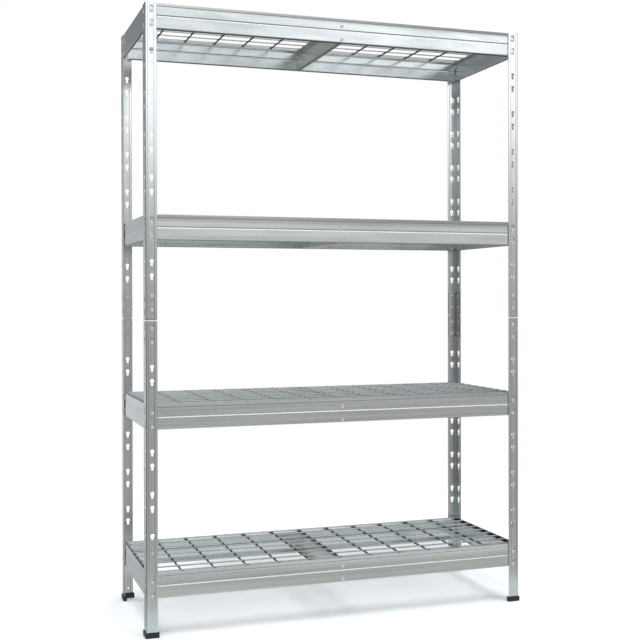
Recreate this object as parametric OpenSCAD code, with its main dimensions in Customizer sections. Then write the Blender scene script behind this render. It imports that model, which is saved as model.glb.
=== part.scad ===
// Boltless steel shelving: four levels, welded wire decks, split angle posts.
// Millimetres, +Z up. Origin: middle of the footprint, on the floor.
// X runs along the width, -Y is the front.

/* [Rack] */
// Overall width over the outer faces of the posts
rack_width = 1200; // [900:1:1500]
// Overall depth over the outer faces of the posts
rack_depth = 400; // [380:1:600]
// Length of one half post (two halves make the height)
half_post = 900; // [880:1:960]

/* [Levels] */
// Height of the bottom edge of the lowest level above the floor
level_low = 111; // [111:120:231]
// Height of the bottom edge of the second level
level_second = 591; // [471:120:591]
// Height of the bottom edge of the third level
level_third = 1131; // [1131:120:1251]
// Height of the bottom edge of the top level
level_top = 1731; // [1611:120:1731]

/* [Posts] */
// Leg length of the angle post
leg = 34; // [33:0.5:40]
// Sheet thickness of posts and splices
post_t = 1.2; // [1:0.1:1.4]
// Distance from the post corner to the middle of the keyhole row
hole_row = 18.5; // [18:0.1:19.5]
// Depth of the shallow band rolled into each leg
band = 0.8; // [0.5:0.1:1]
// Diameter of the round entry of a keyhole
key_d = 12; // [11.4:0.1:12.6]
// Width of the narrow seat of a keyhole
seat_width = 7; // [6.8:0.1:7.4]
// Height of the round entry above the seat
key_rise = 11; // [10:0.5:12]
// Pitch between pairs of keyholes
pair_pitch = 120; // [120:1:121]
// Distance between the two keyholes of a pair
pair_gap = 40; // [40:1:41]
// Open seam between the lower and the upper half posts
seam_gap = 1.6; // [0.4:0.2:2]

/* [Beams] */
// Height of a beam
beam_h = 72; // [70:0.5:74]
// Sheet thickness of beams and ties
beam_t = 1; // [0.8:0.1:1.1]
// Depth of the V groove along the middle of a long beam
groove = 2.3; // [1.5:0.1:2.6]
// Width of the folded top of a side beam
side_fold = 3; // [2.8:0.1:3.4]
// How far the top strip of a long beam leans back over its height
strip_lean = 3.2; // [1.2:0.2:3.4]
// Reach of the bottom flange of a long beam
flange = 18; // [12:0.5:19]
// Reach of the bottom flange of a side beam
side_flange = 7; // [6:0.5:10]
// Reach of the ledge the deck lies on
ledge = 17; // [14:0.5:18]

/* [Deck] */
// Diameter of the wires running front to back
cross_d = 5; // [4:0.1:5.2]
// Diameter of the wires running left to right
long_d = 4.4; // [3.5:0.1:4.6]
// Number of wires running front to back
cross_count = 13; // [9:2:17]
// Number of wires running left to right
long_count = 9; // [7:1:12]

/* [Studs] */
// Diameter of a stud shank
shank_d = 6.4; // [6:0.1:6.6]
// Diameter of a stud head
head_d = 10.4; // [9.6:0.1:10.6]
// Diameter of the dished rivets that hold the centre tie
rivet_d = 11; // [9.6:0.2:12]

/* [Feet] */
// Thickness of the foot under the post
foot_base = 3; // [3:0.5:5]
// Height of the foot
foot_h = 15; // [12:0.5:20]

/* [Hidden] */
$fn = 48;

half_width = rack_width / 2;
half_depth = rack_depth / 2;
seam_z = foot_base + half_post;

// Depths, measured inwards from the outer face of a post
band_inner = band + post_t;      // inner face of the band
beam_plane = band_inner + 0.3;   // outermost plane of a beam
web_offset = 1;                  // beam web behind the beam plane
web_face = beam_plane + web_offset;
web_inner = web_face + beam_t;
splice_face = band_inner + 0.1;
head_under = band - 0.25;        // underside of a stud head, clear of the band

// Heights above the lower end of a half post
first_seat = 116;                // lowest keyhole seat
pair_count = 7;                  // keyhole pairs per leg and half post
seats = [for (i = [0:pair_count - 1], gap = [0, pair_gap]) first_seat + i * pair_pitch + gap];
splice_seats = [28, 28 + pair_gap];
nail_z = 28;                     // small round hole
nail_d = 5;

// Heights above the bottom edge of a beam
stud_heights = [8, 8 + pair_gap];
ledge_z = beam_h - 7;            // top of the ledge
groove_z = beam_h / 2;

// ---- sheet profiles: path points are [x, y, bend radius] ----
arc_steps = 3;

function unit(v) = v / norm(v);
function xy(point) = [point[0], point[1]];
function reversed(list) = [for (i = [len(list) - 1:-1:0]) list[i]];

function arc_points(before, bend, after, radius) =
    let (to_before = unit(before - bend),
         to_after = unit(after - bend),
         angle = acos(max(-1, min(1, to_before * to_after))),
         centre = bend + unit(to_before + to_after) * (radius / sin(angle / 2)),
         start = bend + to_before * (radius / tan(angle / 2)),
         start_angle = atan2(start[1] - centre[1], start[0] - centre[0]),
         sweep = (cross(bend - before, after - bend) > 0 ? 1 : -1) * (180 - angle))
    [for (i = [0:arc_steps])
        let (a = start_angle + sweep * i / arc_steps)
        centre + radius * [cos(a), sin(a)]];

function rounded(path) =
    [for (i = [0:len(path) - 1])
        let (point = xy(path[i]), radius = path[i][2])
        each (radius > 0 && i > 0 && i < len(path) - 1)
            ? arc_points(xy(path[i - 1]), point, xy(path[i + 1]), radius)
            : [point]];

function normal(from, to) = let (d = unit(to - from)) [-d[1], d[0]];

// points moved sideways by a distance, mitred at the bends
function shifted(points, distance) =
    [for (i = [0:len(points) - 1])
        let (n_in = i > 0 ? normal(points[i - 1], points[i]) : normal(points[0], points[1]),
             n_out = i < len(points) - 1 ? normal(points[i], points[i + 1]) : n_in,
             mitre = unit(n_in + n_out))
        points[i] + mitre * (distance / (mitre * n_in))];

// bent sheet whose middle line is the path
module sheet(path, thickness) {
    points = rounded(path);
    polygon(concat(shifted(points, thickness / 2), reversed(shifted(points, -thickness / 2))));
}

// ---- placement ----
// Moves a piece drawn with its corner at the origin and its legs along +X and +Y
// to a corner of the rack: side_x -1 left, 1 right; side_y -1 front, 1 back.
module corner(side_x, side_y) translate([side_x * half_width, side_y * half_depth, 0]) {
    if (side_x < 0 && side_y < 0) children();
    if (side_x > 0 && side_y < 0) mirror([1, 0, 0]) children();
    if (side_x < 0 && side_y > 0) mirror([0, 1, 0]) children();
    if (side_x > 0 && side_y > 0) rotate([0, 0, 180]) children();
}

// repeats a feature of the X leg on the Y leg
module both_legs() {
    children();
    mirror([1, -1, 0]) children();
}

// ---- posts ----
band_before = 12;   // start of the band before the hole row
band_after = 8;     // end of the band behind it
band_slope = 1.5;   // length of the slope at each edge of the band

// The free edge is turned in no further than the band, so that a beam passes behind it.
function half_section() =
    let (mid = post_t / 2)
    [[hole_row - band_before, mid, 1],
     [hole_row - band_before + band_slope, mid + band, 1],
     [hole_row + band_after - band_slope, mid + band, 1],
     [hole_row + band_after, mid, 1],
     [leg - mid, mid, 0.9],
     [leg - mid, band_inner, 0]];

module post_section() {
    y_leg = [for (p = reversed(half_section())) [p[1], p[0], p[2]]];
    sheet(concat(y_leg, [[post_t / 2, post_t / 2, 2.4]], half_section()), post_t);
}

// seat centre at the origin, entry above it
module keyhole() {
    circle(d = seat_width);
    translate([0, key_rise]) circle(d = key_d);
    translate([-seat_width / 2, 0]) square([seat_width, key_rise]);
}

module through_leg(z)
    translate([hole_row, band_inner + 1, z]) rotate([90, 0, 0])
        linear_extrude(band_inner + 3) children();

// half post with its keyholes; children are further cutters, made in both legs
module half_post_body(bottom) difference() {
    translate([0, 0, bottom]) linear_extrude(half_post - seam_gap / 2) post_section();
    both_legs() {
        for (z = seats) through_leg(z) keyhole();
        children();
    }
}

module post_lower() color("Silver") translate([0, 0, foot_base])
    half_post_body(bottom = 0) through_leg(nail_z) circle(d = nail_d);

// the keyholes for the splice are upside down
module post_upper() color("Silver") translate([0, 0, seam_z])
    half_post_body(bottom = seam_gap / 2)
        for (z = splice_seats) through_leg(z) mirror([0, 1]) keyhole();

// ---- studs: axis along +Y, y = 0 on the outer face of the post ----
head_t = 1.9;
head_edge = 0.9;    // height of the tapered outer part of the head

// head outside, shank, riveted end behind the sheet it holds
module stud(sheet_face, sheet_t) rotate([-90, 0, 0]) {
    sheet_back = sheet_face + sheet_t;
    translate([0, 0, head_under - head_t]) cylinder(d1 = head_d - 2.4, d2 = head_d, h = head_edge);
    translate([0, 0, head_under - head_t + head_edge]) cylinder(d = head_d, h = head_t - head_edge);
    translate([0, 0, head_under]) cylinder(d = shank_d, h = sheet_back - head_under);
    translate([0, 0, sheet_back]) cylinder(d1 = 8.4, d2 = 6.8, h = 1.1);
}

// studs at the given heights in both legs of all four posts
module corner_studs(heights, sheet_face, sheet_t)
    for (side_x = [-1, 1], side_y = [-1, 1]) corner(side_x, side_y)
        for (z = heights) both_legs()
            translate([hole_row, 0, z]) stud(sheet_face, sheet_t);

// two studs in every beam end of one level
module studs(level) color("Gainsboro") translate([0, 0, level])
    corner_studs(stud_heights, web_face, beam_t);

// ---- splice: plain angle inside the post, joining its two halves ----
splice_z = 825;
splice_len = 160;
splice_leg = leg - 3.5;
top_pair = foot_base + first_seat + (pair_count - 1) * pair_pitch;
splice_holes = [top_pair, top_pair + pair_gap, for (z = splice_seats) seam_z + z];

module splice() {
    mid = splice_face + post_t / 2;
    color("Silver") difference() {
        translate([0, 0, splice_z]) linear_extrude(splice_len)
            sheet([[mid, splice_leg, 0], [mid, mid, 2.2], [splice_leg, mid, 0]], post_t);
        for (z = splice_holes) both_legs()
            translate([hole_row, mid + 2, z]) rotate([90, 0, 0]) cylinder(d = shank_d, h = 4);
    }
}

module splice_studs() color("Gainsboro") corner_studs(splice_holes, splice_face, post_t);

// ---- foot: L shaped plastic shoe ----
foot_gap = 0.2;         // play around the post
foot_wall = 2.3;
foot_width = 10.2;      // width of each arm
foot_reach = leg + 3.6;
foot_step = 0.6;        // the underside is set in by this much
foot_step_h = 0.8;

module ell(start, width, reach) translate([start, start]) {
    square([reach - start, width]);
    square([width, reach - start]);
}

module foot() color([0.06, 0.06, 0.06]) difference() {
    outer = -foot_wall - foot_gap;
    union() {
        translate([0, 0, foot_step_h]) linear_extrude(foot_h - foot_step_h)
            ell(outer, foot_width, foot_reach);
        linear_extrude(foot_step_h)
            ell(outer + foot_step, foot_width - 2 * foot_step, foot_reach - foot_step);
    }
    // pocket for the angle, wider at its corner bend
    translate([0, 0, foot_base]) linear_extrude(foot_h) {
        ell(-foot_gap, band_inner + 2 * foot_gap, leg + foot_gap);
        translate([-foot_gap, -foot_gap]) square([4, 4]);
    }
}

// ---- beams: drawn along X, beam plane at y = 0, inwards +Y ----
long_half = half_width - 4.5;     // half length of a long beam
flange_half = half_width - 22;    // half length of its flange and ledge
side_half = half_depth - 10;      // half length of a side beam
fold_wall = 5;                    // outer face of the inner wall of a long beam
web_mid = web_offset + beam_t / 2;
rivet_shank_d = 4.8;

// section paths: [distance inwards, height, bend radius]
function long_path() =
    let (mid = beam_t / 2)
    [[flange, mid, 0],
     [web_mid, mid, 1.2],
     [web_mid, groove_z - 3, 1],
     [web_mid + groove, groove_z, 0.8],
     [web_mid, groove_z + 3, 1],
     [web_mid, beam_h - 9.7, 0],
     [mid, beam_h - 8.3, 0],
     [mid + strip_lean, beam_h - mid, 0.6],
     [fold_wall + mid, beam_h - mid, 0.6],
     [fold_wall + mid, ledge_z - mid, 0.8],
     [ledge, ledge_z - mid, 0]];

// plain web, folded straight over at the top
function side_path() =
    let (mid = beam_t / 2)
    [[side_flange, mid, 0],
     [web_mid, mid, 1.2],
     [web_mid, beam_h - mid, 0.6],
     [side_fold + mid, beam_h - mid, 0.6],
     [side_fold + mid, ledge_z - mid, 0.8],
     [ledge, ledge_z - mid, 0]];

module beam_bar(half_length, path)
    translate([-half_length, 0, 0]) rotate([90, 0, 90])
        linear_extrude(2 * half_length) sheet(path, beam_t);

// pair of holes through the web, one at each stud height
module web_holes(x, d)
    for (z = stud_heights) translate([x, 5, z]) rotate([90, 0, 0]) cylinder(d = d, h = 6);

module long_beam(level) color("Silver")
    translate([0, -half_depth + beam_plane, level]) difference() {
        cut = half_width - flange_half;
        beam_bar(long_half, long_path());
        for (side = [-1, 1]) {
            // ledge and bottom flange stop short of the posts
            translate([side > 0 ? flange_half : -half_width, 0, -1]) {
                translate([0, fold_wall + beam_t + 0.2, 0]) cube([cut, 40, beam_h + 2]);
                translate([0, web_offset + beam_t, 0]) cube([cut, 40, 2.6]);
            }
            web_holes(side * (half_width - hole_row), shank_d);
        }
        web_holes(0, rivet_shank_d);
    }

module side_beam(level) color("Silver")
    translate([-half_width + beam_plane, 0, level]) rotate([0, 0, -90]) difference() {
        beam_bar(side_half, side_path());
        for (side = [-1, 1]) web_holes(side * (half_depth - hole_row), shank_d);
    }

module beam_front(level) long_beam(level);
module beam_back(level) rotate([0, 0, 180]) long_beam(level);
module beam_left(level) side_beam(level);
module beam_right(level) rotate([0, 0, 180]) side_beam(level);

// ---- tie: channel under the middle of the deck, open to the left ----
tie_web = 8;                          // middle of its web, right of the rivet line
tie_flange = 15;
tie_bottom = beam_t + 0.1;
tie_top = ledge_z - beam_t - 0.2;
tab_y = half_depth - web_inner;       // end tabs lie on the inner face of the beam webs

// A box at both ends of the tie, from inset inside the tab face to overshoot outside it.
// x_range and z_range are [low, high].
module tie_end_boxes(x_range, z_range, inset, overshoot)
    for (side = [-1, 1])
        translate([x_range[0], side > 0 ? tab_y - inset : -tab_y - overshoot, z_range[0]])
            cube([x_range[1] - x_range[0], inset + overshoot, z_range[1] - z_range[0]]);

module tie(level) color("DarkGray") translate([0, 0, level]) {
    half_length = tab_y - beam_t;
    mid = beam_t / 2;
    full_x = [tie_web - 17, tie_web + 3];
    difference() {
        union() {
            translate([0, half_length, 0]) rotate([90, 0, 0]) linear_extrude(2 * half_length)
                sheet([[tie_web - tie_flange, tie_top - mid, 0], [tie_web, tie_top - mid, 1.4],
                       [tie_web, tie_bottom + mid, 1.4],
                       [tie_web - tie_flange, tie_bottom + mid, 0]], beam_t);
            // end tabs
            tie_end_boxes([tie_web - tie_flange - 0.5, tie_web + mid], [tie_bottom, tie_top],
                          inset = beam_t, overshoot = 0);
        }
        // windows that clear the groove of the beams
        tie_end_boxes(full_x, [groove_z - 5, groove_z + 5], inset = 3.4, overshoot = 1);
        // relief over the rolled bend of the beam flange
        tie_end_boxes(full_x, [0, 2.4], inset = 1.2, overshoot = 0.8);
        for (side = [-1, 1], z = stud_heights)
            translate([0, side * tab_y + 3, z]) rotate([90, 0, 0])
                cylinder(d = rivet_shank_d, h = 6);
    }
}

// dished head outside, riveted end inside; axis along +Y from the post face
module rivet() rotate([-90, 0, 0]) {
    difference() {
        union() {
            translate([0, 0, web_face - 1.7]) cylinder(d1 = rivet_d - 1.6, d2 = rivet_d, h = 0.7);
            translate([0, 0, web_face - 1]) cylinder(d = rivet_d, h = 1);
            translate([0, 0, web_face - 0.5]) cylinder(d = rivet_shank_d, h = 2 * beam_t + 0.5);
        }
        // dish
        translate([0, 0, web_face - 1.75]) cylinder(d1 = rivet_d - 3, d2 = 3.4, h = 1.25);
    }
    translate([0, 0, web_face + 2 * beam_t]) cylinder(d1 = 7.4, d2 = 5.6, h = 1.2);
}

module tie_rivets(level) color("Gainsboro") translate([0, 0, level])
    for (turn = [0, 180], z = stud_heights)
        rotate([0, 0, turn]) translate([0, -half_depth, z]) rivet();

// ---- deck: welded wire panel, long wires on top of the cross wires ----
cross_z = ledge_z + cross_d / 2;
long_z = ledge_z + cross_d + long_d / 2 - 0.3;   // sunk in at the welds
cross_x = half_width - 10.6;      // outermost cross wires
cross_half = half_depth - 9;      // half length of a cross wire
long_y = half_depth - 18;         // outermost long wires
long_wire_half = half_width - 6.8;

// evenly spaced places from -reach to reach
function spread(count, reach) = [for (i = [0:count - 1]) -reach + 2 * reach * i / (count - 1)];

module deck(level) color("DarkGray") translate([0, 0, level]) union() {
    for (x = spread(cross_count, cross_x)) translate([x, cross_half, cross_z])
        rotate([90, 0, 0]) cylinder(d = cross_d, h = 2 * cross_half);
    for (y = spread(long_count, long_y)) translate([-long_wire_half, y, long_z])
        rotate([0, 90, 0]) cylinder(d = long_d, h = 2 * long_wire_half);
}

corner(-1, -1) post_lower();  // post_lower_front_left
corner(1, -1) post_lower();  // post_lower_front_right
corner(-1, 1) post_lower();  // post_lower_back_left
corner(1, 1) post_lower();  // post_lower_back_right
corner(-1, -1) post_upper();  // post_upper_front_left
corner(1, -1) post_upper();  // post_upper_front_right
corner(-1, 1) post_upper();  // post_upper_back_left
corner(1, 1) post_upper();  // post_upper_back_right
corner(-1, -1) splice();  // splice_front_left
corner(1, -1) splice();  // splice_front_right
corner(-1, 1) splice();  // splice_back_left
corner(1, 1) splice();  // splice_back_right
splice_studs();
corner(-1, -1) foot();  // foot_front_left
corner(1, -1) foot();  // foot_front_right
corner(-1, 1) foot();  // foot_back_left
corner(1, 1) foot();  // foot_back_right
beam_front(level_top);  // beam_front_1
beam_back(level_top);  // beam_back_1
beam_left(level_top);  // beam_left_1
beam_right(level_top);  // beam_right_1
tie(level_top);  // tie_1
studs(level_top);  // studs_1
tie_rivets(level_top);  // tie_rivets_1
deck(level_top);  // deck_1
beam_front(level_third);  // beam_front_2
beam_back(level_third);  // beam_back_2
beam_left(level_third);  // beam_left_2
beam_right(level_third);  // beam_right_2
tie(level_third);  // tie_2
studs(level_third);  // studs_2
tie_rivets(level_third);  // tie_rivets_2
deck(level_third);  // deck_2
beam_front(level_second);  // beam_front_3
beam_back(level_second);  // beam_back_3
beam_left(level_second);  // beam_left_3
beam_right(level_second);  // beam_right_3
tie(level_second);  // tie_3
studs(level_second);  // studs_3
tie_rivets(level_second);  // tie_rivets_3
deck(level_second);  // deck_3
beam_front(level_low);  // beam_front_4
beam_back(level_low);  // beam_back_4
beam_left(level_low);  // beam_left_4
beam_right(level_low);  // beam_right_4
tie(level_low);  // tie_4
studs(level_low);  // studs_4
tie_rivets(level_low);  // tie_rivets_4
deck(level_low);  // deck_4
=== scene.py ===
# Boltless steel shelving rack: four angle posts, beams and welded wire decks on black feet.
# Metres. Width along X and depth along Y, both centred on the origin; +Z up, -Y is the front.
import math
import random

import bpy
import bmesh
import numpy as np
from mathutils import Matrix, Vector


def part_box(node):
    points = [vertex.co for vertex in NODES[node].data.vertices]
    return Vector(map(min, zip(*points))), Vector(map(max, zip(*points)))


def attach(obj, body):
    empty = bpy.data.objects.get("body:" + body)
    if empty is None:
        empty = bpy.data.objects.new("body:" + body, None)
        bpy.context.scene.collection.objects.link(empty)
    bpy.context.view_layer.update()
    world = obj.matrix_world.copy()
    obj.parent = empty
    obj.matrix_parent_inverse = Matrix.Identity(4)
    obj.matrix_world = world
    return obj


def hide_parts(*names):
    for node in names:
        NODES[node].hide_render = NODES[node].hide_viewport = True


MM = 0.001
HALF_WIDTH, HALF_DEPTH = 0.6, 0.2         # outer faces of the posts
LEVELS = (1.731, 1.131, 0.591, 0.111)     # bottom edges of the beams
BEAM_HEIGHT = 0.072
POST_SEAM = 0.903                         # height where the two halves of a post meet
DECKS = range(1, 5)

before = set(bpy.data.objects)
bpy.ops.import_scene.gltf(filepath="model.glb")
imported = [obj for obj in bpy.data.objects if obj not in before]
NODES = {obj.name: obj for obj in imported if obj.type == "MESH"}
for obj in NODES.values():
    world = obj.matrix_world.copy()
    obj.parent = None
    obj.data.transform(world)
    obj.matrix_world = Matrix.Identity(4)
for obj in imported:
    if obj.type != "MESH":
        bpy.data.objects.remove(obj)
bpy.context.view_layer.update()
scene = bpy.context.scene
scene.view_settings.view_transform = "Standard"
scene.view_settings.look = "None"


# ------------------------------------------------------------------ node helpers
def rgba(colour):
    if isinstance(colour, (int, float)):
        return (colour, colour, colour, 1)
    return (*colour[:3], 1)


class Tree:
    """Short calls that add shader nodes and return their output sockets."""

    def __init__(self, tree):
        self.tree = tree
        tree.nodes.clear()

    def node(self, kind, inputs=None, **settings):
        node = self.tree.nodes.new(kind)
        for name, value in settings.items():
            setattr(node, name, value)
        for key, value in (inputs or {}).items():
            self.put(node, key, value)
        return node

    def put(self, node, key, value):
        socket = node.inputs[key]
        if isinstance(value, bpy.types.NodeSocket):
            self.tree.links.new(value, socket)
        else:
            socket.default_value = rgba(value) if socket.type == "RGBA" else value

    def position(self):
        return self.node("ShaderNodeTexCoord").outputs["Object"]

    def attribute(self, name):
        return self.node("ShaderNodeAttribute", attribute_name=name).outputs["Fac"]

    def separate(self, vector):
        return self.node("ShaderNodeSeparateXYZ", {0: vector}).outputs

    def combine(self, x, y, z):
        return self.node("ShaderNodeCombineXYZ", {0: x, 1: y, 2: z}).outputs[0]

    def math(self, operation, a, b=0.0, c=0.0):
        inputs = {0: a, 1: b, 2: c}
        return self.node("ShaderNodeMath", inputs, operation=operation).outputs[0]

    def scale_add(self, value, by, plus):
        return self.math("MULTIPLY_ADD", value, by, plus)

    def swing(self, value, by, plus):
        """Moves plus up and down by a 0..1 value centred on 0.5."""
        return self.scale_add(self.math("SUBTRACT", value, 0.5), by, plus)

    def largest(self, first, *others):
        for value in others:
            first = self.math("MAXIMUM", first, value)
        return first

    def vector_math(self, operation, a, b=(0, 0, 0), *c):
        node = self.node("ShaderNodeVectorMath", operation=operation)
        for index, value in enumerate((a, b, *c)):
            self.put(node, index, value)
        return node.outputs["Value" if operation == "LENGTH" else "Vector"]

    def mapping(self, vector, scale=(1, 1, 1), location=(0, 0, 0)):
        inputs = {"Vector": vector, "Scale": scale, "Location": location}
        return self.node("ShaderNodeMapping", inputs).outputs[0]

    def noise(self, vector, scale, detail, rough, distortion=0.0):
        return self.node("ShaderNodeTexNoise", {
            "Vector": vector, "Scale": scale, "Detail": detail, "Roughness": rough,
            "Distortion": distortion}).outputs["Fac"]

    def stretched_noise(self, vector, stretch, detail, rough, distortion=0.0):
        return self.noise(self.mapping(vector, stretch), 1.0, detail, rough, distortion)

    def remap(self, value, span, to=(0.0, 1.0), kind="LINEAR"):
        return self.node("ShaderNodeMapRange", {
            "Value": value, "From Min": span[0], "From Max": span[1],
            "To Min": to[0], "To Max": to[1]}, interpolation_type=kind).outputs[0]

    def fade(self, value, span, to=(0.0, 1.0)):
        return self.remap(value, span, to, "SMOOTHSTEP")

    def band(self, value, span, soft=0.0003):
        """1 inside the span, fading out over soft on both sides of each limit."""
        low, high = span
        rise = self.fade(value, (low - soft, low + soft))
        fall = self.fade(value, (high - soft, high + soft), to=(1.0, 0.0))
        return self.math("MULTIPLY", rise, fall)

    def ramp(self, factor, stops):
        node = self.node("ShaderNodeValToRGB")
        elements = node.color_ramp.elements
        while len(elements) > 1:
            elements.remove(elements[-1])
        elements[0].position = stops[0][0]
        elements[0].color = rgba(stops[0][1])
        for place, colour in stops[1:]:
            elements.new(place).color = rgba(colour)
        self.put(node, "Fac", factor)
        return node.outputs["Color"]

    def mix(self, factor, a, b, blend="MIX"):
        inputs = {0: factor, 6: a, 7: b}
        return self.node("ShaderNodeMix", inputs, data_type="RGBA", blend_type=blend).outputs[2]

    def times(self, a, b):
        return self.mix(1.0, a, b, "MULTIPLY")

    def bump(self, height, strength, distance):
        inputs = {"Strength": strength, "Distance": distance, "Height": height}
        return self.node("ShaderNodeBump", inputs).outputs[0]

    def principled(self, inputs):
        return self.node("ShaderNodeBsdfPrincipled", inputs).outputs[0]

    def diffuse(self, colour):
        return self.node("ShaderNodeBsdfDiffuse", {"Color": colour}).outputs[0]

    def glow(self, colour):
        return self.node("ShaderNodeEmission", {"Color": colour, "Strength": 1.0}).outputs[0]

    def mix_shader(self, factor, a, b):
        return self.node("ShaderNodeMixShader", {0: factor, 1: a, 2: b}).outputs[0]

    def surface(self, shader):
        self.node("ShaderNodeOutputMaterial", {"Surface": shader})


def new_material(name):
    material = bpy.data.materials.new(name)
    material.use_nodes = True
    return material, Tree(material.node_tree)


# ------------------------------------------------------------------ painted shade and highlights on the sheet metal
# Bands of height above the bottom edge of a beam, where painted shade or a painted highlight
# goes.
TOP_CREASE = (BEAM_HEIGHT - 0.0101, BEAM_HEIGHT - 0.0082)
GROOVE_CREASE = (0.0362, 0.0386)
GROOVE_FLANK = (0.0320, 0.0360)
BOTTOM_CREASE = (-0.001, 0.0011)
SIDE_BOTTOM_BEND = (-0.001, 0.0014)
SIDE_ROLL_LINE = (0.0350, 0.0362)

# Each of these functions returns (painted shade, painted highlight) masks; the highlight mask
# may be None.


def beam_painted_light(t, position, normal):
    """Painted shade darkening the rolled creases, and a painted highlight on the lower flank of
    the V groove.
    """
    z = t.separate(position)[2]
    up = t.separate(normal)[2]
    dark, bright = [], []
    for level in LEVELS:
        height = t.math("SUBTRACT", z, level)
        # painted shade: top crease, groove crease and, fainter, bottom crease
        dark.append(t.largest(
            t.band(height, TOP_CREASE),
            t.band(height, GROOVE_CREASE),
            t.math("MULTIPLY", t.band(height, BOTTOM_CREASE), 0.8)))
        # painted highlight: the upward-facing lower flank of the groove
        bright.append(t.band(height, GROOVE_FLANK))
    facing_up = t.fade(up, (0.12, 0.35))
    return t.largest(*dark), t.math("MULTIPLY", t.largest(*bright), facing_up)


def side_painted_shade(t, position, normal):
    """Painted shade along the bottom bend of a side beam and a faint painted shade line along
    its middle.
    """
    z = t.separate(position)[2]
    dark = []
    for level in LEVELS:
        height = t.math("SUBTRACT", z, level)
        dark.append(t.largest(
            t.band(height, SIDE_BOTTOM_BEND),
            t.math("MULTIPLY", t.band(height, SIDE_ROLL_LINE), 0.45)))
    dark = t.largest(*dark)
    # the side beams get no painted highlight
    no_painted_highlight = t.math("MULTIPLY", dark, 0.0)
    return dark, no_painted_highlight


def from_post_corner(t, x, y):
    """Larger of the distances in from the two outer faces: small only at a post's corner."""
    return t.largest(t.math("SUBTRACT", HALF_WIDTH, t.math("ABSOLUTE", x)),
                     t.math("SUBTRACT", HALF_DEPTH, t.math("ABSOLUTE", y)))


def post_painted_light(t, position, normal):
    """Painted shade along the rolled corner, and at the seam a painted highlight line with a
    painted shadow over it.
    """
    x, y, z = t.separate(position)
    # painted shade along the rolled outer corner of the post
    corner = t.fade(from_post_corner(t, x, y), (0.0014, 0.0030), to=(1.0, 0.0))
    shadow = t.band(z, (POST_SEAM, POST_SEAM + 0.0022))
    dark = t.largest(t.math("MULTIPLY", corner, 0.85), shadow)
    # painted highlight: a bright line just below the seam
    return dark, t.band(z, (POST_SEAM - 0.0030, POST_SEAM - 0.0002))


def splice_painted_shade(t, position, normal):
    """Painted shade along the rolled corner of the plate inside the post, where the contact
    shadow falls.
    """
    x, y, _ = t.separate(position)
    return t.fade(from_post_corner(t, x, y), (0.0045, 0.0062), to=(1.0, 0.0)), None


# ------------------------------------------------------------------ materials
ALONG_X, ALONG_Y, ALONG_Z = (1.0, 0.0, 0.0), (0.0, 1.0, 0.0), (0.0, 0.0, 1.0)


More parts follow.
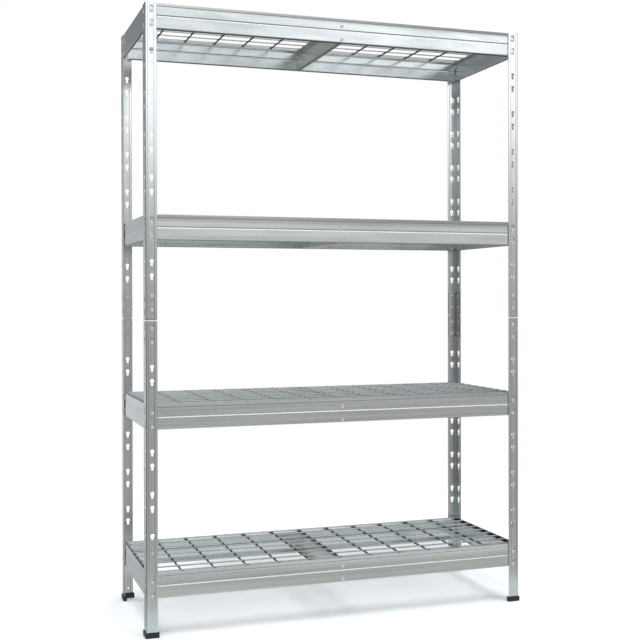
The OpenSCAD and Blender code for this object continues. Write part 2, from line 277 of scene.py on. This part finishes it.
def galvanised(name, direction, seed, base=(0.768, 0.79, 0.786), rough=0.20, painted_light_masks=None):
    """Zinc coated strip: roll streaks along the piece, faint crystal spangle, dull patches,
    edge wear and slow waviness. The seed moves the pattern."""
    material, t = new_material(name)
    position = t.position()
    place = t.mapping(position, location=(seed, seed * 0.7, seed * 0.3))
    geometry = t.node("ShaderNodeNewGeometry").outputs
    dark, bright = painted_light_masks(t, position, geometry["True Normal"]) if painted_light_masks else (None, None)

    def streaks(along, across, **settings):
        stretch = tuple(along if part else across for part in direction)
        return t.stretched_noise(place, stretch, **settings)

    # roll lines, three widths
    fine = streaks(5, 640, detail=3.0, rough=0.65)
    medium = streaks(1.1, 150, detail=4.0, rough=0.6, distortion=0.15)
    wide = streaks(1.8, 42, detail=2.0, rough=0.5, distortion=0.4)

    # spangle: flat crystals with ragged borders, each with its own faint tone
    warp = t.node("ShaderNodeTexNoise", {"Vector": place, "Scale": 260.0, "Detail": 2.0})
    warped = t.vector_math("MULTIPLY_ADD", warp.outputs["Color"], (0.004, 0.004, 0.004), place)
    crystals = t.node("ShaderNodeTexVoronoi", {
        "Vector": warped, "Scale": 190.0, "Randomness": 1.0}, feature="F1")
    crystal = t.node("ShaderNodeSeparateColor", {0: crystals.outputs["Color"]}).outputs
    crystal_tone, crystal_sheen = crystal[0], crystal[1]

    # dull, slightly blue-grey patches where the coat has weathered
    patch = t.fade(streaks(2.4, 12.0, detail=4.0, rough=0.6, distortion=0.6), (0.40, 0.74))

    # brightness: 1 plus the swing of each pattern, weighted
    tone = None
    for pattern, weight in ((fine, 0.10), (medium, 0.34), (wide, 0.16), (crystal_tone, 0.022)):
        part = t.math("MULTIPLY", t.math("SUBTRACT", pattern, 0.5), weight)
        tone = part if tone is None else t.math("ADD", tone, part)
    tone = t.math("ADD", tone, 1.0)
    darker_tone = (base[0] * 0.90, base[1] * 0.915, base[2] * 0.93)
    colour = t.times(t.mix(patch, base, darker_tone), t.combine(tone, tone, tone))
    edge_wear = t.math("MULTIPLY", t.remap(geometry["Pointiness"], (0.52, 0.60)), 0.25)
    colour = t.mix(edge_wear, colour, (0.88, 0.89, 0.90))
    # painted shade: creases, corners and the post seam darkened towards a dark grey
    if dark is not None:
        colour = t.mix(t.math("MULTIPLY", dark, 0.72), colour, (0.16, 0.175, 0.175))

    roughness = t.swing(wide, by=0.12, plus=rough)
    roughness = t.swing(medium, by=0.12, plus=roughness)
    roughness = t.swing(crystal_sheen, by=0.012, plus=roughness)
    roughness = t.scale_add(patch, by=0.07, plus=roughness)

    height = t.math("MULTIPLY", streaks(4.5, 16, detail=1.0, rough=0.4), 1.0)
    height = t.scale_add(fine, by=0.006, plus=height)
    height = t.scale_add(medium, by=0.035, plus=height)

    # highlights stretch across the roll lines; the small offset keeps the tangent from zero
    tangent = t.vector_math("CROSS_PRODUCT", geometry["Normal"], t.combine(*direction))
    tangent = t.vector_math("ADD", tangent, (1e-4, 2e-4, 1e-4))
    shader = t.principled({
        "Base Color": colour, "Metallic": 1.0, "Roughness": roughness,
        "Normal": t.bump(height, strength=1.0, distance=0.0006),
        "Anisotropic": 0.5, "Tangent": t.vector_math("NORMALIZE", tangent)})
    # painted highlight: where the highlight mask is set, a pale diffuse shader replaces the
    # metal
    if bright is not None:
        painted_highlight = t.diffuse((0.88, 0.89, 0.895))
        shader = t.mix_shader(t.math("MULTIPLY", bright, 0.9), shader, painted_highlight)
    t.surface(shader)
    return material


def wire_zinc(name):
    """Drawn wire with a thin zinc coat: light long wires, near-black cross wires, soot at welds.
    """
    material, t = new_material(name)
    position = t.position()
    weld, cross = t.attribute("weld"), t.attribute("cross")
    specks = t.noise(position, scale=900.0, detail=3.0, rough=0.6)
    clouds = t.noise(position, scale=60.0, detail=4.0, rough=0.6)

    bright = t.mix(t.remap(clouds, (0.35, 0.7)), (0.74, 0.755, 0.76), (0.60, 0.615, 0.625))
    # cross wires coloured near black
    darker_tone = t.mix(t.remap(clouds, (0.35, 0.7)), (0.040, 0.045, 0.047), (0.022, 0.026, 0.027))
    soot = t.math("MULTIPLY", weld, t.remap(specks, (0.3, 0.7), to=(0.15, 0.55)))
    colour = t.mix(soot, t.mix(cross, bright, darker_tone), (0.16, 0.16, 0.16))

    roughness = t.scale_add(specks, by=0.16, plus=0.22)
    roughness = t.scale_add(clouds, by=0.10, plus=roughness)
    roughness = t.scale_add(weld, by=0.18, plus=roughness)
    height = t.scale_add(clouds, by=0.6, plus=t.math("MULTIPLY", specks, 0.35))
    t.surface(t.principled({
        "Base Color": colour, "Metallic": 1.0, "Roughness": roughness,
        "Normal": t.bump(height, strength=0.6, distance=0.00025)}))
    return material


def zinc_stud(name):
    """Barrel plated rivets: soft sheen and small dents."""
    material, t = new_material(name)
    position = t.position()
    specks = t.noise(position, scale=700.0, detail=3.0, rough=0.6)
    dents = t.noise(position, scale=140.0, detail=3.0, rough=0.6)
    colour = t.mix(t.remap(dents, (0.35, 0.7)), (0.80, 0.815, 0.825), (0.64, 0.66, 0.675))
    roughness = t.scale_add(specks, by=0.16, plus=0.27)
    height = t.scale_add(dents, by=0.7, plus=t.math("MULTIPLY", specks, 0.3))
    t.surface(t.principled({
        "Base Color": colour, "Metallic": 0.72, "Roughness": roughness,
        "Normal": t.bump(height, strength=0.35, distance=0.0002)}))
    return material


def black_plastic(name):
    """Moulded polyethylene: fine spark-eroded grain, faint flow marks, dust in the texture."""
    material, t = new_material(name)
    position = t.position()
    grain = t.node("ShaderNodeTexVoronoi", {
        "Vector": position, "Scale": 1500.0, "Smoothness": 0.6}, feature="SMOOTH_F1")
    flow = t.stretched_noise(position, (40, 40, 12), detail=3.0, rough=0.5, distortion=0.8)
    dust = t.noise(position, scale=300.0, detail=4.0, rough=0.7)
    colour = t.mix(flow, (0.013, 0.013, 0.014), (0.024, 0.024, 0.025))
    dust_cover = t.remap(dust, (0.55, 0.8), to=(0.0, 0.35))
    colour = t.mix(dust_cover, colour, (0.09, 0.088, 0.083))
    roughness = t.scale_add(flow, by=0.12, plus=0.42)
    height = t.scale_add(dust, by=0.4, plus=grain.outputs["Distance"])
    t.surface(t.principled({
        "Base Color": colour, "Roughness": roughness, "Specular IOR Level": 0.45,
        "Normal": t.bump(height, strength=0.45, distance=0.0002)}))
    return material


MATERIALS = {
    "post": galvanised("galvanised_post", ALONG_Z, seed=1.7, base=(0.80, 0.823, 0.822),
                       painted_light_masks=post_painted_light),
    "splice": galvanised("galvanised_splice", ALONG_Z, seed=4.1, base=(0.70, 0.72, 0.715),
                         rough=0.26, painted_light_masks=splice_painted_shade),
    "front_beam": galvanised("galvanised_beam_long", ALONG_X, seed=3.3, painted_light_masks=beam_painted_light),
    # The back beams get a lighter base than the front beams: painted light on their shaded inner
    # faces.
    "back_beam": galvanised("galvanised_beam_rear", ALONG_X, seed=5.6,
                            base=(0.905, 0.94, 0.95), painted_light_masks=beam_painted_light),
    "side_beam": galvanised("galvanised_beam_side", ALONG_Y, seed=7.9, painted_light_masks=side_painted_shade),
    "tie": galvanised("galvanised_tie", ALONG_Y, seed=9.4, base=(0.80, 0.825, 0.79),
                      rough=0.25),
    "wire": wire_zinc("galvanised_wire"),
    "stud": zinc_stud("zinc_stud"),
    "plastic": black_plastic("black_plastic"),
}


def give(piece, material):
    piece.data.materials.clear()
    piece.data.materials.append(material)
    for face in piece.data.polygons:
        face.material_index = 0


# ------------------------------------------------------------------ CAD pieces kept as they are
SHEET_EDGE, FOOT_EDGE = 0.00022, 0.0006   # bevel widths

# Start of the node name, material, slot, edge bevel (None: material only).
# The first match counts, so longer names come before shorter ones.
FINISHES = (
    ("post", "post", "galvanised_post", SHEET_EDGE),
    ("splice_studs", "stud", "zinc_stud", None),
    ("splice", "splice", "galvanised_post", SHEET_EDGE),
    ("beam_front", "front_beam", "galvanised_beam", SHEET_EDGE),
    ("beam_back", "back_beam", "galvanised_beam", SHEET_EDGE),
    ("beam_left", "side_beam", "galvanised_beam", SHEET_EDGE),
    ("beam_right", "side_beam", "galvanised_beam", SHEET_EDGE),
    ("tie_rivets", "stud", "zinc_stud", None),
    ("studs", "stud", "zinc_stud", None),
    ("tie", "tie", "galvanised_beam", SHEET_EDGE),
    ("foot", "plastic", "black_plastic", FOOT_EDGE),
    ("deck", "wire", "galvanised_wire", None),
)


def soften_edges(piece, width):
    """Smooth shading with narrow rounded edges in place of the stored CAD normals."""
    stored = piece.data.attributes.get("custom_normal")
    if stored is not None:
        piece.data.attributes.remove(stored)
    for face in piece.data.polygons:
        face.use_smooth = True
    weld = piece.modifiers.new("weld", "WELD")
    weld.merge_threshold = 0.00002
    bevel = piece.modifiers.new("bevel", "BEVEL")
    bevel.width = width
    bevel.segments = 2
    bevel.limit_method = "ANGLE"
    bevel.angle_limit = math.radians(50)
    bevel.use_clamp_overlap = True
    bevel.harden_normals = False
    bevel.miter_outer = "MITER_ARC"
    normals = piece.modifiers.new("normals", "WEIGHTED_NORMAL")
    normals.keep_sharp = True


def finish_cad_pieces():
    for name, piece in NODES.items():
        for prefix, material, slot, edge in FINISHES:
            if name.startswith(prefix):
                give(piece, MATERIALS[material])
                if edge is not None:
                    soften_edges(piece, edge)
                break


finish_cad_pieces()


def add_piece(name, mesh, body, material, node):
    """Adds a rebuilt piece that moves with body and stands in for a CAD node."""
    piece = bpy.data.objects.new(name, mesh)
    scene.collection.objects.link(piece)
    give(piece, material)
    for face in mesh.polygons:
        face.use_smooth = True
    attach(piece, body)
    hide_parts(node)


# ------------------------------------------------------------------ studs and rivets
LATHE_SEGMENTS = 28
TILT_DEPTH = 0.0006                       # only rings nearer the tip than this are tilted


# Crowns of the heads, mm: (depth in from the outer tip, radius), from the axis outwards.
def dimpled_crown(head):
    return [(0.42, 0), (0.40, 0.75), (0.20, 1.25), (0.05, 1.6), (0.0, 2.1), (0.03, 2.7),
            (0.14, 3.35), (0.36, head - 1.15), (0.70, head - 0.52)]


def dished_crown(head):
    return [(1.50, 0), (1.48, 1.2), (1.34, 2.1), (0.92, head - 2.6), (0.45, head - 1.95),
            (0.10, head - 1.4), (0.0, head - 1.0), (0.04, head - 0.6), (0.22, head - 0.25),
            (0.5, head - 0.06)]


# Sizes in mm; head, shank and tail are radii.
STUD = dict(crown=dimpled_crown, head=5.2, head_height=1.9, shank=3.2, tail=4.2,
            tail_height=1.1)
TIE_RIVET = dict(crown=dished_crown, head=5.5, head_height=1.7, shank=2.4, tail=3.7,
                 tail_height=1.2)


def turned_profile(length, crown, head, head_height, shank, tail, tail_height):
    """(depth, radius) in mm from the crown over the rim and shank to the formed tail."""
    rim = [(head_height * 0.62, head - 0.10), (head_height * 0.78, head),
           (head_height * 0.93, head - 0.04), (head_height, head - 0.16)]
    neck = [(head_height, shank + 0.25), (head_height + 0.12, shank),
            (length - tail_height, shank)]
    end = [(length - tail_height, tail - 0.1), (length - tail_height * 0.8, tail),
           (length - tail_height * 0.45, tail - 0.25), (length - tail_height * 0.15, tail - 0.9),
           (length, tail - 1.6), (length - 0.08, tail - 2.4),
           (length - 0.3, 0.6), (length - 0.34, 0)]
    return crown(head) + rim + neck + end


def solid_boxes(node):
    """(lowest, highest) corners of each separate solid of a CAD node."""
    bm = bmesh.new()
    bm.from_mesh(NODES[node].data)
    bmesh.ops.remove_doubles(bm, verts=bm.verts, dist=1e-5)
    seen, boxes = set(), []
    for start in bm.verts:
        if start in seen:
            continue
        seen.add(start)
        waiting, points = [start], []
        while waiting:
            vertex = waiting.pop()
            points.append(vertex.co.copy())
            for edge in vertex.link_edges:
                neighbour = edge.other_vert(vertex)
                if neighbour not in seen:
                    seen.add(neighbour)
                    waiting.append(neighbour)
        points = np.array(points)
        boxes.append((Vector(points.min(0)), Vector(points.max(0))))
    bm.free()
    return boxes


def lathe(bm, profile, tip, inward, rng):
    """Closed turned solid, slightly oval and with a tilted head; the profile starts and
    ends on the axis."""
    side = inward.orthogonal().normalized()
    other = inward.cross(side)
    turn = rng.random()
    squash_side, squash_other = 1 + rng.uniform(-0.02, 0.02), 1 + rng.uniform(-0.02, 0.02)
    tilt_side, tilt_other = rng.uniform(-0.05, 0.05), rng.uniform(-0.05, 0.05)
    rings = []
    for depth, radius in profile:
        if radius == 0:
            rings.append([bm.verts.new(tip + inward * depth)])
            continue
        ring = []
        for i in range(LATHE_SEGMENTS):
            angle = 2 * math.pi * (i + turn) / LATHE_SEGMENTS
            x = math.cos(angle) * radius * squash_side
            y = math.sin(angle) * radius * squash_other
            lift = (x * tilt_side + y * tilt_other) * 0.4 if depth < TILT_DEPTH else 0.0
            ring.append(bm.verts.new(tip + side * x + other * y + inward * (depth + lift)))
        rings.append(ring)
    for a, b in zip(rings, rings[1:]):
        for i in range(LATHE_SEGMENTS):
            j = (i + 1) % LATHE_SEGMENTS
            if len(a) == 1:
                bm.faces.new((a[0], b[j], b[i]))
            elif len(b) == 1:
                bm.faces.new((a[i], a[j], b[0]))
            else:
                bm.faces.new((a[i], a[j], b[j], b[i]))


def rivets(node, body, kind, seed):
    """Turned fasteners in place of the solids of a node, heads facing away from the middle."""
    rng = random.Random(seed)
    bm = bmesh.new()
    for low, high in solid_boxes(node):
        size = high - low
        axis = 0 if abs(size.y - size.z) < 0.0002 else 1
        tip = (low + high) / 2
        outward = 1 if tip[axis] > 0 else -1
        tip[axis] = high[axis] if outward > 0 else low[axis]
        inward = Vector((0, 0, 0))
        inward[axis] = -outward
        profile = turned_profile(size[axis] / MM, **kind)
        lathe(bm, [(depth * MM, radius * MM) for depth, radius in profile], tip, inward, rng)
    bmesh.ops.recalc_face_normals(bm, faces=bm.faces)
    name = node + "_formed"
    mesh = bpy.data.meshes.new(name)
    bm.to_mesh(mesh)
    bm.free()
    add_piece(name, mesh, body, MATERIALS["stud"], node)


for i in DECKS:
    rivets(f"studs_{i}", f"level_{i}", STUD, seed=10 + i)
    rivets(f"tie_rivets_{i}", f"level_{i}", TIE_RIVET, seed=20 + i)
rivets("splice_studs", "frame", STUD, seed=30)


# ------------------------------------------------------------------ wire decks
CROSS_DIAMETER, LONG_DIAMETER = 0.0050, 0.0044   # cross wires run along Y, long wires along X
CROSS_COUNT, LONG_COUNT = 13, 9
CROSS_REACH, LONG_REACH = 0.5894, 0.182          # centres of the outermost wires
WIRE_SEGMENTS, FLASH_SEGMENTS = 14, 12
END_ROUNDING = 0.0008
WELD_REACH = 0.007                               # heat marks fade out over this length
WELD_STEPS = (-0.009, -0.0055, -0.003, 0.0, 0.003, 0.0055, 0.009)
FLASH_LATITUDES = (-0.9, -0.45, 0.0, 0.45, 0.9)


def spread(reach, count):
    return [-reach + 2 * reach * k / (count - 1) for k in range(count)]


def circle(segments):
    for i in range(segments):
        angle = 2 * math.pi * i / segments
        yield math.cos(angle), math.sin(angle)


class Lofts:
    """Capped skins over rings of points, with the weld and cross values of every vertex."""

    def __init__(self):
        self.vertices, self.faces, self.weld, self.cross = [], [], [], []

    def add(self, rings, weld, cross):
        """weld holds one value per ring, cross is one value for the whole skin."""
        count = len(rings[0])
        base = len(self.vertices)
        for ring, heat in zip(rings, weld):
            self.vertices += ring
            self.weld += [heat] * count
            self.cross += [cross] * count
        last = base + (len(rings) - 1) * count
        for a in range(base, last, count):
            b = a + count
            for i in range(count):
                j = (i + 1) % count
                self.faces.append((a + i, a + j, b + j, b + i))
        self.faces.append(tuple(range(base, base + count))[::-1])
        self.faces.append(tuple(range(last, last + count)))

    def mesh(self, name):
        mesh = bpy.data.meshes.new(name)
        mesh.from_pydata(self.vertices, [], self.faces)
        for key, values in (("weld", self.weld), ("cross", self.cross)):
            attribute = mesh.attributes.new(key, "FLOAT", "POINT")
            attribute.data.foreach_set("value", np.array(values, np.float32))
        bm = bmesh.new()
        bm.from_mesh(mesh)
        bmesh.ops.recalc_face_normals(bm, faces=bm.faces)
        bm.to_mesh(mesh)
        bm.free()
        return mesh


def wire_stations(half, crossings):
    """Places of the rings along a wire: dense at the ends and round each crossing."""
    places = [-half, -half + 0.00025, -half + END_ROUNDING,
              half - END_ROUNDING, half - 0.00025, half]
    for crossing in crossings:
        places += [crossing + step for step in WELD_STEPS]
    for a, b in zip(crossings, crossings[1:]):
        places += [a + (b - a) * part for part in (0.3, 0.5, 0.7)]
    places = sorted(place for place in places if abs(place) <= half + 1e-9)
    kept = [places[0]]
    for place in places[1:]:
        if place - kept[-1] > 0.0002:
            kept.append(place)
    kept[-1] = half
    return kept


def add_wire(lofts, axis, half, crossings, diameter, centre, cross):
    """Wire along axis (0 X, 1 Y) with rounded ends; centre(s) gives the sideways place
    and height at station s."""
    rings, weld = [], []
    for s in wire_stations(half, crossings):
        from_end = max(half - abs(s), 0.0)
        radius = diameter / 2 * (0.80 + 0.20 * min(1.0, math.sqrt(from_end / END_ROUNDING)))
        sideways, height = centre(s)
        ring = []
        for cosine, sine in circle(WIRE_SEGMENTS):
            across, z = sideways + cosine * radius, height + sine * radius
            ring.append((s, across, z) if axis == 0 else (across, s, z))
        rings.append(ring)
        nearest = min(abs(s - crossing) for crossing in crossings)
        weld.append(max(0.0, 1 - nearest / WELD_REACH))
    lofts.add(rings, weld, cross)


def add_flash(lofts, x, y, z, rng):
    """Flat lumpy bead of metal squeezed out round one crossing."""
    radius_x, radius_y, radius_z = (rng.uniform(2.5, 3.1) * MM for _ in range(3))
    radius_z *= 0.42
    rings = []
    for latitude in FLASH_LATITUDES:
        width = math.sqrt(1 - latitude * latitude)
        ring = []
        for cosine, sine in circle(FLASH_SEGMENTS):
            lump = width * (1 + rng.uniform(-0.10, 0.10))
            ring.append((x + cosine * radius_x * lump, y + sine * radius_y * lump,
                         z + latitude * radius_z))
        rings.append(ring)
    lofts.add(rings, [1.0] * len(rings), cross=0.7)


def wire_deck(number):
    """Welded panel: long wires over cross wires, none quite straight, with flash at every
    crossing."""
    node = f"deck_{number}"
    rng = random.Random(100 + number)
    low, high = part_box(node)
    cross_z = low.z + CROSS_DIAMETER / 2
    long_z = high.z - LONG_DIAMETER / 2
    cross_x = spread(CROSS_REACH, CROSS_COUNT)
    long_y = spread(LONG_REACH, LONG_COUNT)
    lofts = Lofts()

    for x in cross_x:
        phase, bend = rng.uniform(0, 6.28), rng.uniform(0.15, 0.5) * MM

        def cross_centre(s):
            fade = 1 - (s / high.y) ** 2
            return x + bend * fade * math.sin(s * 16 + phase), cross_z

        add_wire(lofts, 1, high.y, long_y, CROSS_DIAMETER, cross_centre, cross=1.0)

    bends = []
    for y in long_y:
        phase, bend = rng.uniform(0, 6.28), rng.uniform(0.15, 0.55) * MM
        rng.uniform(0, 6.28)   # spare draw: the flash shapes depend on the sequence

        def long_centre(s):
            sag = 0.00008 * (0.5 + 0.5 * math.cos(s * 2 * math.pi / 0.098))
            return y + bend * math.sin(s * 7 + phase), long_z - sag

        add_wire(lofts, 0, high.x, cross_x, LONG_DIAMETER, long_centre, cross=0.0)
        bends.append((y, phase, bend))

    touch = (cross_z + CROSS_DIAMETER / 2 + long_z - LONG_DIAMETER / 2) / 2
    for x in cross_x:
        for y, phase, bend in bends:
            add_flash(lofts, x, y + bend * math.sin(x * 7 + phase), touch, rng)
    name = node + "_wires"
    add_piece(name, lofts.mesh(name), f"deck_panel_{number}", MATERIALS["wire"],
              node)


for i in DECKS:
    wire_deck(i)


# ------------------------------------------------------------------ stage
FLOOR_RADII = (1.0, 2.0, 3.5, 6.0, 12.0, 30.0, 80.0)
FLOOR_SEGMENTS = 64


def stage_piece(name, vertices, faces, material):
    mesh = bpy.data.meshes.new(name)
    mesh.from_pydata(vertices, [], faces)
    piece = bpy.data.objects.new(name, mesh)
    scene.collection.objects.link(piece)
    give(piece, material)
    return piece


def floor_paper():
    """Pale paper that turns into plain white away from the rack, with a painted shadow, a soft
    grey glow, behind it."""
    material, t = new_material("floor_paper")
    position = t.position()
    grain = t.noise(position, scale=25.0, detail=4.0, rough=0.6)
    paper = t.diffuse(t.mix(grain, (0.87, 0.875, 0.88), (0.90, 0.902, 0.905)))
    white = t.glow((1, 1, 1))
    far = t.fade(t.vector_math("LENGTH", position), (0.9, 2.6))
    ground = t.mix_shader(far, paper, white)

    x, y, _ = t.separate(position)

    def within(value, centre, span):
        offset = t.math("ABSOLUTE", t.math("SUBTRACT", value, centre))
        return t.fade(offset, span, to=(1.0, 0.0))

    # painted shadow: a soft grey glow on the floor behind the rack
    shade = t.math("MULTIPLY", within(x, centre=0.27, span=(0.42, 0.70)),
                   within(y, centre=0.58, span=(0.15, 0.36)))
    painted_shadow = t.glow((0.70, 0.72, 0.73))
    t.surface(t.mix_shader(t.math("MULTIPLY", shade, 0.9), ground, painted_shadow))
    return material


def floor():
    """Disc of rings round a centre vertex."""
    count = FLOOR_SEGMENTS
    vertices = [(0, 0, 0)]
    for radius in FLOOR_RADII:
        for i in range(count):
            angle = 2 * math.pi * i / count
            vertices.append((radius * math.cos(angle), radius * math.sin(angle), 0))
    faces = [(0, 1 + i, 1 + (i + 1) % count) for i in range(count)]
    for k in range(len(FLOOR_RADII) - 1):
        a, b = 1 + k * count, 1 + (k + 1) * count
        for i in range(count):
            j = (i + 1) % count
            faces.append((a + i, b + i, b + j, a + j))
    piece = stage_piece("floor", vertices, faces, floor_paper())
    piece.visible_glossy = False


def bounce():
    """Pale card on the floor at the front, seen only in the metal's reflections."""
    half, front, back, height = 0.9, -0.45, -0.10, 0.001
    corners = [(-half, front, height), (half, front, height),
               (half, back, height), (-half, back, height)]
    material, t = new_material("bounce_card")
    t.surface(t.glow((0.61, 0.67, 0.69)))
    piece = stage_piece("bounce", corners, [(0, 1, 2, 3)], material)
    piece.visible_camera = False
    piece.visible_diffuse = False
    piece.visible_shadow = False


floor()
bounce()

# ------------------------------------------------------------------ world
COOL, WARM, NEUTRAL = (0.965, 1.0, 1.03), (1.0, 1.012, 0.97), (0.99, 1.003, 1.0)

# Studio brightness by height: (elevation in degrees, brightness).
FRONT_SKY = (
    (-90, 0.55), (-60, 0.75), (-42, 0.90), (-30, 0.82), (-21, 0.66), (-16, 0.42), (-11, 0.37),
    (-4, 0.40), (1, 0.43), (4, 0.48), (8, 0.85), (11, 1.46), (15, 1.70), (18, 1.36), (22, 0.66),
    (29, 0.40), (38, 0.50), (47, 0.42), (54, 0.58), (61, 0.85), (69, 2.0), (79, 2.9), (86, 1.8),
    (90, 1.0))
BACK_RIGHT_SKY = (
    (-90, 0.20), (-50, 0.34), (-30, 0.24), (-14, 0.10), (-7, 0.20), (-3, 0.48), (3, 0.66),
    (10, 0.42), (17, 0.26), (30, 0.30), (45, 0.6), (60, 0.9), (79, 1.7), (90, 0.95))
BACK_LEFT_SKY = (
    (-90, 0.20), (-50, 0.34), (-32, 0.26), (-20, 0.40), (-14, 0.56), (-8, 0.70), (-3, 0.66),
    (3, 0.56), (10, 0.36), (17, 0.22), (30, 0.26), (45, 0.6), (60, 0.9), (79, 1.7), (90, 0.95))

# Dark flags round the set: (part of a turn from the back, 0.5 is the front and 0.75 is +X;
# brightness).
FLAGS = (
    (0.0, 1.0), (0.10, 1.0), (0.17, 0.95), (0.25, 0.85), (0.31, 0.62), (0.36, 0.55),
    (0.40, 0.58), (0.422, 0.32), (0.440, 0.32), (0.465, 0.62), (0.490, 0.80), (0.52, 1.0),
    (0.60, 1.08), (0.635, 0.98), (0.665, 0.45), (0.695, 0.16), (0.745, 0.55), (0.83, 0.85),
    (1.0, 1.0))
# Panels above the horizon: (degrees from the front towards +X, brightness).
PANELS = (
    (-180, 1.0), (0, 1.0), (8, 1.0), (12, 1.12), (15.5, 0.78), (17.5, 0.85), (20, 1.15),
    (23.4, 0.78), (26, 1.15), (30, 1.2), (31.8, 0.72), (34, 0.85), (45, 0.8), (180, 1.0))


def sky_ramp(t, height, sky, tint_at):
    stops = []
    for elevation, value in sky:
        place = 0.5 + 0.5 * math.sin(math.radians(elevation))
        stops.append((place, tuple(value * part for part in tint_at(elevation))))
    return t.ramp(height, stops)


def front_tint(elevation):
    if elevation < 6:
        return WARM
    return NEUTRAL if 22 < elevation < 66 else COOL


def studio():
    """White for the camera; every other ray sees a studio with a bright bank high in front,
    dark flags beside the set and a lit band behind."""
    world = bpy.data.worlds.new("studio")
    scene.world = world
    world.use_nodes = True
    t = Tree(world.node_tree)
    direction = t.node("ShaderNodeTexCoord").outputs["Generated"]
    x, y, z = t.separate(direction)

    height = t.scale_add(z, by=0.5, plus=0.5)
    front = sky_ramp(t, height, FRONT_SKY, front_tint)
    back_right = sky_ramp(t, height, BACK_RIGHT_SKY, lambda e: COOL if e > 6 else WARM)
    back_left = sky_ramp(t, height, BACK_LEFT_SKY, lambda e: COOL)
    back = t.mix(t.fade(x, (-0.10, 0.10)), back_left, back_right)
    sky = t.mix(t.fade(y, (-0.3, 0.3)), front, back)

    azimuth = t.math("ARCTAN2", x, t.math("MULTIPLY", y, -1.0))
    azimuth = t.scale_add(azimuth, by=0.5 / math.pi, plus=0.5)
    flags = t.ramp(azimuth, FLAGS)
    panels = t.ramp(azimuth, [(0.5 + degrees / 360.0, value) for degrees, value in PANELS])
    panels = t.mix(t.fade(z, (0.12, 0.2)), (1, 1, 1), panels)
    steep = t.fade(t.math("ABSOLUTE", z), (0.35, 0.62))
    flags = t.mix(steep, flags, (0.9, 0.9, 0.9))
    sky = t.times(t.times(sky, flags), panels)

    clouds = t.stretched_noise(direction, (5.0, 5.0, 2.5), detail=2.0, rough=0.5)
    gain = t.remap(clouds, (0.25, 0.75), to=(0.85, 1.15))
    sky = t.times(sky, t.combine(gain, gain, gain))
    from_camera = t.node("ShaderNodeLightPath").outputs["Is Camera Ray"]
    colour = t.mix(from_camera, sky, (1.0, 1.0, 1.0))
    background = t.node("ShaderNodeBackground", {"Color": colour, "Strength": 1.0})
    t.node("ShaderNodeOutputWorld", {"Surface": background.outputs[0]})


studio()


# ------------------------------------------------------------------ light and camera
def ceiling_light():
    """Wide soft panel overhead that lights the set but is not mirrored in the metal."""
    place, target = Vector((0.0, -0.6, 4.6)), Vector((0, 0, 0.9))
    light = bpy.data.lights.new("ceiling", "AREA")
    light.shape = "RECTANGLE"
    light.size, light.size_y = 5.0, 4.0
    light.energy = 250.0
    light.color = (0.97, 0.985, 1.0)
    lamp = bpy.data.objects.new("ceiling", light)
    lamp.location = place
    lamp.rotation_mode = "QUATERNION"
    lamp.rotation_quaternion = (target - place).to_track_quat("-Z", "Y")
    lamp.visible_camera = False
    lamp.visible_glossy = False
    scene.collection.objects.link(lamp)


def camera():
    """View from the front left, turned towards +X."""
    lens = bpy.data.cameras.new("camera")
    lens.sensor_width = 36.0
    lens.lens = 55.648125
    lens.shift_x, lens.shift_y = 0.1134375, -0.02765625
    lens.clip_start, lens.clip_end = 0.05, 200.0
    viewer = bpy.data.objects.new("camera", lens)
    yaw, pitch, roll = math.radians(16.865), math.radians(-0.25), math.radians(-0.122)
    forward = Vector((math.sin(yaw) * math.cos(pitch), math.cos(yaw) * math.cos(pitch),
                      math.sin(pitch)))
    level_right = Vector((math.cos(yaw), -math.sin(yaw), 0))
    level_up = level_right.cross(forward)
    right = level_right * math.cos(roll) + level_up * math.sin(roll)
    up = level_up * math.cos(roll) - level_right * math.sin(roll)
    pose = Matrix((right, up, -forward)).transposed().to_4x4()
    pose.translation = Vector((-1.1358, -2.9599, 0.9648))
    viewer.matrix_world = pose
    scene.collection.objects.link(viewer)
    scene.camera = viewer


ceiling_light()
camera()
